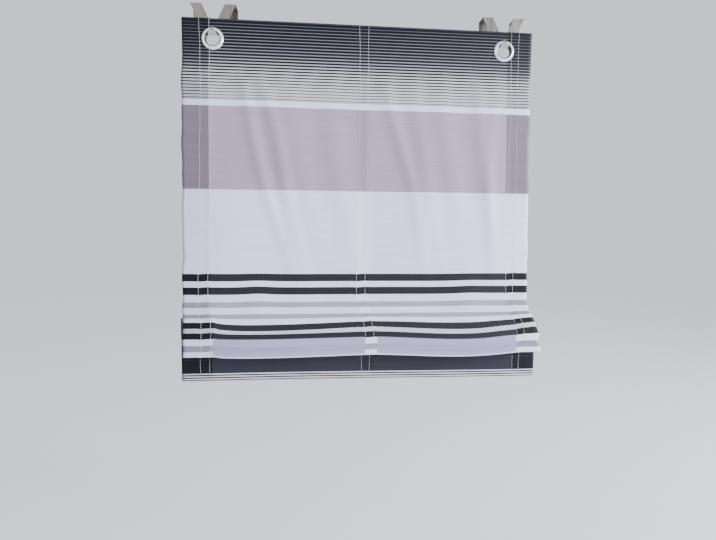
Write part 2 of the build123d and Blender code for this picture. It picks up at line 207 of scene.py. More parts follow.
def rounded(points, radii):
    """Fine points along a line of corners whose bends are true arcs.

    An arc touches its two runs at radius / tan(half the angle between them) from the
    corner, and its centre lies on their bisector at radius / sin(half that angle).
    """
    points = np.array(points, float)
    steps = np.linspace(0, 1, 9)
    line = [points[:1]]
    for before, corner, after, radius in zip(points, points[1:], points[2:], radii):
        to_before = (before - corner) / np.linalg.norm(before - corner)
        to_after = (after - corner) / np.linalg.norm(after - corner)
        half = math.acos(np.clip(to_before @ to_after, -1, 1)) / 2
        bisector = (to_before + to_after) / np.linalg.norm(to_before + to_after)
        centre = corner + bisector * radius / math.sin(half)
        start = corner + to_before * radius / math.tan(half) - centre
        end = corner + to_after * radius / math.tan(half) - centre
        side = math.copysign(1, start[0] * end[1] - start[1] * end[0])
        swing = side * (math.pi - 2 * half) * steps
        arc_y = start[0] * np.cos(swing) - start[1] * np.sin(swing)
        arc_z = start[0] * np.sin(swing) + start[1] * np.cos(swing)
        line.append(centre + np.stack([arc_y, arc_z], axis=1))
    line.append(points[-1:])
    return np.vstack(line)


path = rounded(path_points, path_bends)
path_run = np.concatenate([[0], np.cumsum(np.linalg.norm(np.diff(path, axis=0), axis=1))])
top_index = int(np.argmax(path[:, 1]))
path_run -= path_run[top_index]
START, END = path_run[0], path_run[-1]
HEM_EDGE = path_run[int(np.argmin(path[:, 1]))]
print(f"cloth: {END - START:.0f} mm cut, {HEM_EDGE:.0f} mm let down")

# %% [markdown]
# ## The cloth as a surface
# A point of the cloth is named by two numbers: u, across the blind from its middle, and s,
# along the cloth from its top edge. The path gives each point its place as if the folds
# were perfectly straight. Real cloth isn't: between two tapes nothing lifts it, so it sags
# there, the drawn-up stack has slipped a little to one side, and soft slanting folds run
# down the panel. Each of these is a small shift of the surface, added to the path.

# %% Smooth steps and bumps
TAPE_X = {"left": -267.0, "centre": 0.0, "right": 267.0}
TAPE_WIDTH = 20.0
SEAM_INSET = 2.6
EYELETS = ((-250.0, TOP_Z - 33.3), (250.0, TOP_Z - 33.3))
# the cloth goes out of sight under the front fold at HIDDEN_START, and HEM_SHOWN of it
# hangs out again as the hem, which slips between HEM_TOP and HEM_FULL
HIDDEN_START, HEM_SHOWN = 590.0, 60.0
HEM_TOP, HEM_FULL = HEM_EDGE - 90, HEM_EDGE - 45


def smooth(value, low, high):
    """0 below low, 1 above high, and a smooth S between: t * t * (3 - 2 t)."""
    t = np.clip((value - low) / (high - low), 0, 1)
    return t * t * (3 - 2 * t)


def bump(value, middle, width):
    """A bell of height 1: e to the power of minus the square of the distance / width."""
    return np.exp(-(((value - middle) / width) ** 2))


def bay(u, start, end, lean):
    """Half a sine wave between two tapes, whose top leans to one side for lean != 1."""
    t = np.clip((u - start) / (end - start), 0, 1)
    return np.sin(math.pi * t**lean)


def tape_x(side, s):
    """Middle of a tape: it was sewn on a little askew, by a few millimetres."""
    return TAPE_X[side] + 3.0 * (1 - smooth(s, 100, 400)) - 2.0 * smooth(s, 380, 450)


# %% Where each point of the cloth lies
SLANTED_FOLDS = [
    # place at the top of the fold, slip to the right per mm down, width, depth
    (-232.0, 0.26, 11.0, 3.6),
    (-196.0, 0.24, 13.0, 4.2),
    (-150.0, 0.20, 22.0, 2.5),
    (-62.0, 0.10, 20.0, 2.1),
    (22.0, 0.22, 12.0, 2.9),
    (62.0, 0.20, 17.0, 2.7),
    (128.0, 0.12, 21.0, 2.4),
    (196.0, 0.10, 14.0, 2.8),
    (240.0, -0.04, 10.0, 2.0),
]


# how far each side edge was cut or pulled out of line, as pairs of s and millimetres
LEFT_EDGE = ((60, 0.0), (110, -2.0), (400, -1.8), (440, -3.4), (470, -1.6), (515, -6.0),
             (560, -4.6), (590, -6.0), (HEM_TOP, -6.0), (HEM_FULL, -7.6))
RIGHT_EDGE = ((60, 0.0), (110, -0.6), (430, -2.6), (455, -1.0), (480, -3.0), (500, -7.4),
              (532, -4.8), (543, -1.6), (550, -6.2), (563, 2.4), (569, 1.0), (590, -3.0),
              (HEM_TOP, 0.0), (HEM_FULL, -1.2))


def edge_pull(u, s):
    """Pull of the two side edges, straight between its pairs, fading out over 30 mm."""
    left = np.interp(s, *zip(*LEFT_EDGE)) * smooth(-u, 270, 300)
    right = np.interp(s, *zip(*RIGHT_EDGE)) * smooth(u, 270, 300)
    return left + right


def surface(u, s):
    """Place (x, y, z) in millimetres of the points u across and s along the cloth.

    The path gives y and z. Then come the slip of the stack to the right, which grows with
    the distance in front of the gathering line, the slip of the hem, the pull of the side
    edges, the sag between the tapes, the lift of the right end, the slanted folds, the
    puckers beside the seams and the wavy edges. Each is a height in millimetres times
    smooth, bump or bay, which say where on the cloth it acts.
    """
    u, s = np.broadcast_arrays(np.asarray(u, float), np.asarray(s, float))
    y = np.interp(s, path_run, path[:, 0])
    z = np.interp(s, path_run, path[:, 1])

    # across: the stack has slipped to the right, and the hem with it
    held_y = np.where(s > HEM_EDGE - 5, HEM_Y, y)
    in_front = smooth(GATHER_Y - held_y, 0, 34)
    x = u + (12.0 - 5.5 * smooth(u, 50, 270)) * in_front
    hem = smooth(s, HEM_TOP, HEM_FULL)
    x = x + hem * (4.4 + 3.4 * np.clip(u / TAPE_X["right"], -1, 1))
    x = x + edge_pull(u, s)

    # down: the front fold sags in each bay, the one between two tapes
    left, right = bay(u, -254, -4, 0.56), bay(u, 6, 262, 1.36)
    sag = left * (6.0 * bump(s, 517, 13) + 3.0 * smooth(s, 520, 560))
    sag = sag + right * 5.5 * smooth(s, 495, 520)
    free = smooth(-y, 30, 44) * (1 - smooth(s, 640, HEM_EDGE - HEM_SHOWN))
    z = z - sag * free
    # up: the right end, a low arch in each bay above the fold, and the left of the hem
    z = z + (4.0 * smooth(u, 248, 300) + 1.2 * smooth(u, 185, 235)) * bump(s, 524, 24) * free
    z = z + 1.4 * smooth(u, 120, 280) * bump(s, 446, 40)
    arch = 1.8 * bump(u, -178, 26) + 1.4 * bump(u, 190, 30)
    z = z + arch * bump(s, 462, 34)
    z = z + 2.8 * hem * (1 - smooth(u, -160, 260))

    # out to the room: the bays of the panel, its slanted folds, the bays of the front
    # fold, the arches, and a faint unevenness all over
    panel = smooth(s, 62, 120) * (1 - smooth(s, 470, 505))
    out = 1.6 * (left + right) * smooth(s, 110, 260) * (1 - smooth(s, 440, 500))
    for place, slip, width, depth in SLANTED_FOLDS:
        at = place + slip * s + 5.0 * np.sin(s / 61.0 + place)
        out = out + depth * bump(u, at, width) * panel * bump(s, 230, 170)
    out = out + 3.0 * (left + right) * bump(s, 545, 22)
    out = out + 1.3 * arch * bump(s, 470, 30)
    out = out + 0.35 * np.sin(u / 23.0 + s / 47.0) * np.sin(u / 61.0 - s / 83.0) * panel
    # puckers and a small step beside each seam, and a fan of creases over each tape
    front = smooth(s, 66, 90) * (1 - smooth(s, 560, 572))
    for number, side in enumerate(SIDES):
        for edge in (-1, 1):
            seam = tape_x(side, s) + edge * (TAPE_WIDTH / 2 - SEAM_INSET)
            ripple = np.sin(s / 2.6 + 1.7 * number + edge) + np.sin(s / 4.3 + number)
            out = out + 0.16 * (1 + ripple / 2) * bump(u, seam, 5.0) * front
            step = 0.5 * edge * bump(u, seam, 4.0) * smooth(s, 400, 430) * front
            z = z + step
        fan = np.sin(s / 3.4 + 2.1 * number) * bump(u, tape_x(side, s), 30)
        out = out + 0.45 * fan * smooth(s, 430, 470) * (1 - smooth(s, 520, 550))
    y = y - out

    # the side edges are a little wavy
    edge = smooth(np.abs(u), 262, 300) * smooth(s, 60, 90) * (1 - smooth(s, 560, 600))
    x = x + edge * (0.5 * np.sin(s / 8.5 + np.sign(u)) + 0.5 * np.sin(s / 19.0))
    return np.stack([x, y, z], axis=-1)


def behind(u, s, distance):
    """Points a distance behind the cloth, along its normal: across x along, unit length."""
    step = 0.4
    across = surface(u + step, s) - surface(u - step, s)
    along = surface(u, s + step) - surface(u, s - step)
    normal = np.cross(across, along)
    normal /= np.linalg.norm(normal, axis=-1, keepdims=True)
    return surface(u, s) + normal * distance


# %% From a grid of points to a mesh
PANEL_STEP, HIDDEN_STEP, TOP_HEM_STEP, HEM_STEP = 4.2, 9.0, 6.0, 5.0
LEAST_ROW, LEAST_COLUMN = 0.3, 0.8
BESIDE_SEAM = 2.2


def grid_mesh(name, points, uv, keep=None):
    """A mesh of the quads between neighbouring rows and columns of a grid of points.

    Quad (row, column) joins its four grid points so that its face looks to the room. The
    UV map holds u and s in metres. keep says which quads stay.
    """
    rows, columns = points.shape[:2]
    index = np.arange(rows * columns).reshape(rows, columns)
    quads = np.stack([index[:-1, :-1], index[1:, :-1], index[1:, 1:], index[:-1, 1:]], -1)
    quads = quads.reshape(-1, 4) if keep is None else quads[keep]
    used = np.unique(quads)
    renumber = np.zeros(rows * columns, int)
    renumber[used] = np.arange(len(used))
    mesh = bpy.data.meshes.new(name)
    mesh.from_pydata(points.reshape(-1, 3)[used] * MM, [], renumber[quads])
    layer = mesh.uv_layers.new(name="cloth")
    corner_uv = uv.reshape(-1, 2)[quads.reshape(-1)] * MM
    layer.data.foreach_set("uv", corner_uv.ravel().astype(np.float32))
    mesh.polygons.foreach_set("use_smooth", np.ones(len(mesh.polygons), bool))
    mesh.update()
    piece = bpy.data.objects.new(name, mesh)
    bpy.context.scene.collection.objects.link(piece)
    return piece


def thicken(piece, thickness):
    """Gives a sheet its thickness, half to each side, with closed edges."""
    solid = piece.modifiers.new("thickness", "SOLIDIFY")
    solid.thickness = thickness * MM
    solid.offset = 0.0
    return piece


def rows_between(start, end):
    """Values of s for a grid: close on the parts that show and round the tight turns."""
    bends = path_run[(path_run > start) & (path_run < end)]
    shown = (bends < HIDDEN_START + 10) | (bends > HEM_EDGE - HEM_SHOWN)
    turns = np.concatenate([bends[shown][::2], bends[~shown][::4]])
    front = np.arange(0, HIDDEN_START - 5, PANEL_STEP)
    hidden = np.arange(HIDDEN_START, HEM_EDGE - HEM_SHOWN, HIDDEN_STEP)
    top_hem = np.arange(-TOP_HEM, 0, TOP_HEM_STEP)
    ends = np.concatenate([top_hem, np.arange(HEM_EDGE - HEM_SHOWN, END, HEM_STEP)])
    rows = np.concatenate([[start, end], turns, front, hidden, ends])
    rows = np.unique(rows[(rows >= start) & (rows <= end)].round(3))
    far = np.concatenate([[True], np.diff(rows) > LEAST_ROW])
    far[-1] = True
    return rows[far]


def columns_between(start, end, spacing, lines=()):
    """Values of u for a grid: evenly spaced, with extra columns beside the seam lines."""
    even = np.linspace(start, end, int(round((end - start) / spacing)) + 1)
    extra = [line + side for line in lines for side in (-BESIDE_SEAM, 0, BESIDE_SEAM)]
    columns = np.unique(np.concatenate([even, extra]).round(3))
    columns = columns[(columns >= start) & (columns <= end)]
    far = np.concatenate([[True], np.diff(columns) > LEAST_COLUMN])
    return columns[far]


# %% The cloth
SHEET, HOLE = 0.6, 13.2
COLUMN_STEP = 5.0
to_seam = TAPE_WIDTH / 2 - SEAM_INSET
seam_lines = [x + edge * to_seam for x in TAPE_X.values() for edge in (-1, 1)]
columns = columns_between(-WIDTH / 2, WIDTH / 2, COLUMN_STEP, seam_lines)
rows = rows_between(START, END)
grid_u, grid_s = np.meshgrid(columns, rows)
points = surface(grid_u, grid_s)
# no quad stays inside an eyelet, in the panel or in the hem behind it
cell = (points[:-1, :-1] + points[1:, 1:]) / 2
keep = np.ones(cell.shape[:2], bool)
for hole_x, hole_z in EYELETS:
    near = np.hypot(cell[..., 0] - hole_x, cell[..., 2] - hole_z) < HOLE
    keep &= ~(near & (cell[..., 1] > -12) & (rows[1:, None] < 100))
# the points on the rim of a hole move onto its circle
lost = np.zeros(points.shape[:2], bool)
held = np.zeros(points.shape[:2], bool)
for down in (0, 1):
    for over in (0, 1):
        window = (slice(down, down + keep.shape[0]), slice(over, over + keep.shape[1]))
        lost[window] |= ~keep
        held[window] |= keep
rim = lost & held
for hole_x, hole_z in EYELETS:
    offset = points[..., (0, 2)] - (hole_x, hole_z)
    far = np.linalg.norm(offset, axis=-1)
    mine = rim & (far < 2 * HOLE)
    points[mine, 0] = hole_x + offset[mine, 0] / far[mine] * HOLE
    points[mine, 2] = hole_z + offset[mine, 1] / far[mine] * HOLE
cloth = grid_mesh("cloth", points, np.stack([grid_u, grid_s], axis=-1), keep)
thicken(cloth, SHEET)
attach(cloth, "blind")
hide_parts("fabric_panel")
print("cloth:", points.shape[0], "rows,", points.shape[1], "columns,",
      4 * len(cloth.data.polygons), "triangles")

# %% [markdown]
# ## Side hems and gathering tapes
# Along both sides the cloth is turned to the back, and the outer tapes are sewn over that
# turned edge. A tape is a narrow woven ribbon. All of them follow the cloth wherever it
# goes, so each is the same surface again, moved back by its own small distance. Made
# apart, they show their edges from behind, as on a real blind.

# %% Strips sewn to the back
TAPE_START, TAPE_END = 58.0, HEM_EDGE - BOTTOM_HEM - 4.0
SIDE_HEM, SPANS = 32.0, 8
TAPE_BEHIND, TAPE_THICKNESS = 0.83, 0.5
HEM_BEHIND, HEM_THICKNESS = 0.43, 0.2


def back_strip(name, start_u, end_u, distance, thickness, start, end):
    """A strip behind the cloth. start_u and end_u give its two edges for each s."""
    rows = rows_between(start, end)
    across = np.linspace(0, 1, SPANS + 1)
    low, high = start_u(rows)[:, None], end_u(rows)[:, None]
    u = low + (high - low) * across[None, :]
    s = np.broadcast_to(rows[:, None], u.shape)
    strip = grid_mesh(name, behind(u, s, distance), np.stack([u, s], axis=-1))
    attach(thicken(strip, thickness), "blind")
    return strip


tapes = {}
for side in SIDES:
    tape = back_strip(
        f"gathering_tape_detail_{side}",
        lambda s, side=side: tape_x(side, s) - TAPE_WIDTH / 2,
        lambda s, side=side: tape_x(side, s) + TAPE_WIDTH / 2,
        TAPE_BEHIND, TAPE_THICKNESS, TAPE_START, TAPE_END,
    )
    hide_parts(f"gathering_tape_{side}")
    tapes[side] = tape

side_hems = []
for side, sign in (("left", -1), ("right", 1)):
    edges = sorted((sign * (WIDTH / 2 - 0.2), sign * (WIDTH / 2 - SIDE_HEM)))
    hem = back_strip(
        f"side_hem_{side}",
        lambda s, at=edges[0]: np.full(len(s), at),
        lambda s, at=edges[1]: np.full(len(s), at),
        HEM_BEHIND, HEM_THICKNESS, TAPE_START - 1.0, TAPE_END + 3.0,
    )
    side_hems.append(hem)
print("strips:", [len(p.data.polygons) for p in (*tapes.values(), *side_hems)], "quads")

# %% [markdown]
# ## The stitching
# White thread holds the tapes, and a finer dark thread holds the two hems. At this size a
# seam reads as a row of short dashes, so each stitch is a small spindle of thread lying on
# the cloth. One function places a whole row of them, and gives each a tiny seeded change
# of length and direction, because a row that is perfectly even looks drawn on.

# %% Rows of stitches
PITCH, STITCH, AROUND = 3.3, 2.7, 5
THREAD, FINE_THREAD = 0.31, 0.2
random = np.random.default_rng(7)


def stitch_row(u, s, distance, thread=THREAD):
    """Spindles of thread centred on (u, s), pointing along their row.

    Each spindle has 3 rings of 5 points and a point at each end. A ring at a share f of
    the half length has the radius thread * (1 - f * f) to the power 0.4.
    """
    here = behind(u, s, distance)
    next_u = np.append(u[1:], 2 * u[-1] - u[-2])
    next_s = np.append(s[1:], 2 * s[-1] - s[-2])
    after = behind(next_u, next_s, distance)
    along = after - here
    along /= np.linalg.norm(along, axis=1, keepdims=True)
    off = behind(u, s, distance + 0.2) - here
    off /= np.linalg.norm(off, axis=1, keepdims=True)
    along = along + np.cross(along, off) * random.normal(0, 0.05, (len(u), 1))
    beside_it = np.cross(along, off)
    half = STITCH / 2 * random.uniform(0.88, 1.08, (len(u), 1))
    corners = [here - along * half]
    for share in (-0.6, 0.0, 0.6):
        radius = thread * (1 - share * share) ** 0.4
        for turn in np.arange(AROUND) * 2 * math.pi / AROUND:
            around = off * math.cos(turn) + beside_it * math.sin(turn)
            corners.append(here + along * half * share + around * radius)
    corners.append(here + along * half)
    return np.stack(corners, axis=1)


def stitch_mesh(name, groups):
    """One mesh of many spindles: fans at both ends and quads between the three rings."""
    spindles = np.concatenate(groups)
    count = spindles.shape[1]
    ring = np.arange(AROUND)
    pairs = list(zip(ring, (ring + 1) % AROUND))
    first, last = 1, count - 1 - AROUND
    start_fan = [[0, first + b, first + a] for a, b in pairs]
    end_fan = [[count - 1, last + a, last + b] for a, b in pairs]
    sides = [[at + a, at + b, at + b + AROUND, at + a + AROUND]
             for at in (first, first + AROUND) for a, b in pairs]
    shift = (np.arange(len(spindles)) * count)[:, None, None]
    triangles = (np.array(start_fan + end_fan)[None] + shift).reshape(-1, 3)
    quads = (np.array(sides)[None] + shift).reshape(-1, 4)
    mesh = bpy.data.meshes.new(name)
    mesh.from_pydata(spindles.reshape(-1, 3) * MM, [], [*triangles.tolist(), *quads.tolist()])
    mesh.polygons.foreach_set("use_smooth", np.ones(len(mesh.polygons), bool))
    mesh.update()
    piece = bpy.data.objects.new(name, mesh)
    bpy.context.scene.collection.objects.link(piece)
    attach(piece, "blind")
    print(name, len(spindles), "stitches")
    return piece


SEAM_REACH = {"left": 7.6, "centre": 7.2, "right": 6.3}


def seam_u(side, edge, s):
    """A seam lies just inside the tape's edge, and wanders a little as it was sewn."""
    wander = 0.5 * np.sin(s / 37.0 + edge) + 0.3 * np.sin(s / 11.0 + 2 * edge)
    return tape_x(side, s) + edge * SEAM_REACH[side] + wander


FRONT_SIDE, TAPE_SIDE = -(SHEET / 2 + 0.05), 1.12
seam_rows = []
for side in SIDES:
    for edge in (-1, 1):
        s = np.arange(4.0, HEM_EDGE - 16, PITCH) + random.normal(0, 0.06)
        seam_rows.append(stitch_row(seam_u(side, edge, s), s, FRONT_SIDE))
stitches_front = stitch_mesh("tape_seams_front", seam_rows)

back_rows = []
for side in SIDES:
    for edge in (-1, 1):
        s = np.arange(TAPE_START + 3, TAPE_END - 2, PITCH)
        back_rows.append(stitch_row(seam_u(side, edge, s), s, TAPE_SIDE))
stitches_back = stitch_mesh("tape_seams_back", back_rows)

across = np.arange(-WIDTH / 2 + 4, WIDTH / 2 - 3, PITCH)
hem_rows = []
for s in (TOP_HEM - 3.0, HEM_EDGE - BOTTOM_HEM + 3.0):
    hem_rows.append(stitch_row(across, np.full(len(across), s), FRONT_SIDE, FINE_THREAD))
INSIDE_HEM = FRONT_SIDE + SHEET + 0.1
for s in (START + 3.0, END - 3.0):
    hem_rows.append(stitch_row(across, np.full(len(across), s), INSIDE_HEM, FINE_THREAD))
stitches_hem = stitch_mesh("hem_seams", hem_rows)

# %% [markdown]
# ## The springs of the cord stoppers
# In each cord stopper a small spring pushes the button out. When the button is pressed the
# real spring shortens. A copy of the coil, with its doubled points welded and shaded smooth,
# stands in for the ready one.

# %% The stoppers' springs
PRESS, WELD = 3.0, 0.002
springs = {}
for side in SIDES:
    ready = frame["nodes"][f"stopper_spring_{side}"]
    coil_mesh = ready.data.copy()
    welded = bmesh.new()
    welded.from_mesh(coil_mesh)
    bmesh.ops.remove_doubles(welded, verts=welded.verts, dist=WELD * MM)
    welded.to_mesh(coil_mesh)
    welded.free()
    coil_mesh.polygons.foreach_set("use_smooth", np.ones(len(coil_mesh.polygons), bool))
    coil = bpy.data.objects.new(f"spring_coil_{side}", coil_mesh)
    bpy.context.scene.collection.objects.link(coil)
    near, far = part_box(f"stopper_spring_{side}")
    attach(coil, "blind")
    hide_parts(f"stopper_spring_{side}")
    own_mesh(coil)
    springs[side] = coil
print("springs:", [len(coil.data.polygons) for coil in springs.values()], "faces")

# %% [markdown]
# ## Helpers for materials
# A material is a small graph of nodes. A few helpers keep the recipes short. They join a
# value to a socket, do one sum, ease from one value to another, mix two colours, lay
# colours along a length, add noise, and turn a height into bumps.

# %% Node helpers
def plug(tree, value, socket):
    """Joins a node's output to a socket, or writes a plain number or colour into it."""
    if isinstance(value, bpy.types.NodeSocket):
        tree.links.new(value, socket)
    else:
        socket.default_value = value


def calc(tree, operation, *values, clamp=False):
    """One sum: ADD, MULTIPLY, FRACT and so on."""
    node = tree.nodes.new("ShaderNodeMath")
    node.operation, node.use_clamp = operation, clamp
    for value, socket in zip(values, node.inputs):
        plug(tree, value, socket)
    return node.outputs[0]


def ease(tree, value, low, high, to_low=0.0, to_high=1.0):
    """A smooth step of a value between two limits, held outside them."""
    node = tree.nodes.new("ShaderNodeMapRange")
    node.interpolation_type = "SMOOTHSTEP"
    for number, socket in zip((value, low, high, to_low, to_high), node.inputs):
        plug(tree, number, socket)
    return node.outputs[0]


def window(tree, value, opening, closing):
    """1 between a smooth step up and a smooth step down, and 0 outside them."""
    rise = ease(tree, value, *opening)
    return calc(tree, "MULTIPLY", rise, ease(tree, value, *closing, 1.0, 0.0))


def colour(red, green, blue):
    """A colour given as on a screen, 0 to 255, as the linear numbers that a shader wants."""
    values = np.array([red, green, blue]) / 255.0
    linear = np.where(values <= 0.04045, values / 12.92, ((values + 0.055) / 1.055) ** 2.4)
    return (*linear.tolist(), 1.0)


def blend(tree, factor, first, second, how="MIX"):
    """Mixes two colours."""
    node = tree.nodes.new("ShaderNodeMix")
    node.data_type, node.blend_type = "RGBA", how
    for value, number in ((factor, 0), (first, 6), (second, 7)):
        plug(tree, value, node.inputs[number])
    return node.outputs[2]


def ramp(tree, share, stops, between="LINEAR"):
    """Colours along a share from 0 to 1, blended or held between their places."""
    node = tree.nodes.new("ShaderNodeValToRGB")
    node.color_ramp.interpolation = between
    elements = node.color_ramp.elements
    elements.remove(elements[1])
    for number, (where, shade) in enumerate(stops):
        element = elements[0] if number == 0 else elements.new(where)
        element.position = where
        element.color = shade
    plug(tree, share, node.inputs[0])
    return node.outputs[0]


def bands(tree, place, start, length, stops):
    """Flat bands of colour along a length: each colour holds until the next one starts."""
    share = calc(tree, "DIVIDE", calc(tree, "SUBTRACT", place, start), length)
    spots = [((where - start) / length, shade) for where, shade in stops]
    return ramp(tree, share, spots, "CONSTANT")


def noise(tree, coordinates, scale, stretch=(1, 1, 1), detail=3.0, rough=0.5):
    """Soft noise, stretched along an axis by scaling its coordinates."""
    mapping = tree.nodes.new("ShaderNodeMapping")
    mapping.inputs["Scale"].default_value = stretch
    plug(tree, coordinates, mapping.inputs["Vector"])
    node = tree.nodes.new("ShaderNodeTexNoise")
    node.inputs["Scale"].default_value = scale
    node.inputs["Detail"].default_value = detail
    node.inputs["Roughness"].default_value = rough
    plug(tree, mapping.outputs[0], node.inputs["Vector"])
    return node.outputs[0]


def raised(tree, shader, height, distance, strength=1.0):
    """Turns a height into small bumps on a shader."""
    node = tree.nodes.new("ShaderNodeBump")
    node.inputs["Distance"].default_value = distance
    node.inputs["Strength"].default_value = strength
    plug(tree, height, node.inputs["Height"])
    plug(tree, node.outputs[0], shader.inputs["Normal"])


def new_material(name, **values):
    """A material with its main shader, and the shader's own sockets set by name."""
    material = bpy.data.materials.new(name)
    material.use_nodes = True
    tree = material.node_tree
    shader = tree.nodes["Principled BSDF"]
    for socket, value in values.items():
        shader.inputs[socket.replace("_", " ")].default_value = value
    return material, tree, shader


def paint(piece, material):
    """Puts a material on every slot of a piece."""
    if not piece.material_slots:
        piece.data.materials.append(material)
    for slot in piece.material_slots:
        slot.material = material


# %% [markdown]
# ## The print, with painted light and shade over it
# The pattern runs across the cloth in bands, from a near black top with fine light lines
# that slowly turns light, over a wide taupe and a wide white band, to dark and grey
# stripes. All of it depends on s alone, which the UV map carries, so the stripes follow
# the cloth round every fold. Painted light and shade lie over the bands. Painted shade
# darkens the double layers at the sides and behind the middle tape where the cloth is
# coloured, and painted light brightens them where it is white, behind the middle tape and
# down the right side. At the front fold, between the tapes, painted shade turns the thin
# white cloth a pale lavender, where the dark layers lie inside it. Along the left side,
# painted shade darkens its edge, its hem and the edges of the hidden folds.

# %% Colours and places of the bands
WHITE, TAUPE, GREY = colour(226, 226, 250), colour(163, 151, 166), colour(155, 152, 167)
DARK, PALE, FINE_DARK = colour(38, 37, 43), colour(191, 198, 201), colour(18, 18, 24)
# the lavender is painted shade, for thin white cloth over the dark layers of the front fold
HEM_DARK, LAVENDER_PAINTED_SHADE, LIGHT = colour(47, 47, 56), colour(158, 152, 183), colour(212, 209, 213)
OMBRE_END, LINE_PITCH, LINE_SOFT = 132.5, 5.2, 0.05
# the light pinstripes and the ground between them, from the top down to OMBRE_END
LINE_SHADES = (
    (0.0, colour(50, 50, 60)), (0.12, colour(104, 104, 115)), (0.42, colour(126, 126, 136)),
    (0.66, colour(204, 203, 204)), (1.0, colour(194, 191, 198)),
)
GROUND_SHADES = (
    (0.0, colour(10, 10, 17)), (0.50, colour(16, 16, 23)), (0.78, colour(22, 21, 26)),
    (1.0, colour(88, 85, 92)),
)
# each band starts at its s and holds until the next one
FRONT_BANDS = [
    (-60.0, DARK), (132.5, WHITE), (142.0, TAUPE), (281.0, WHITE), (424.8, DARK),
    (436.0, WHITE), (440.6, GREY), (442.4, WHITE), (446.8, DARK), (458.9, WHITE),
    (470.8, GREY), (481.8, WHITE), (494.6, GREY), (503.0, WHITE), (510.5, DARK),
    (519.6, PALE), (528.6, DARK), (538.0, WHITE), (548.6, GREY), (558.8, WHITE),
    (574.0, DARK), (586.0, WHITE),
]
E = HEM_EDGE
BACK_BANDS = [
    (590.0, WHITE), (606.0, DARK), (618.0, WHITE), (640.0, TAUPE), (742.0, WHITE),
    (846.0, DARK), (858.0, WHITE), (868.0, DARK), (880.0, WHITE), (893.0, GREY),
    (905.0, WHITE), (917.0, GREY), (926.0, WHITE), (940.0, DARK), (950.0, WHITE),
    (E - 66.0, HEM_DARK), (E - 14.8, LIGHT), (E - 13.3, FINE_DARK), (E - 10.8, LIGHT),
    (E - 8.2, FINE_DARK), (E - 5.7, LIGHT), (E - 3.8, FINE_DARK), (E + 2.0, WHITE),
]


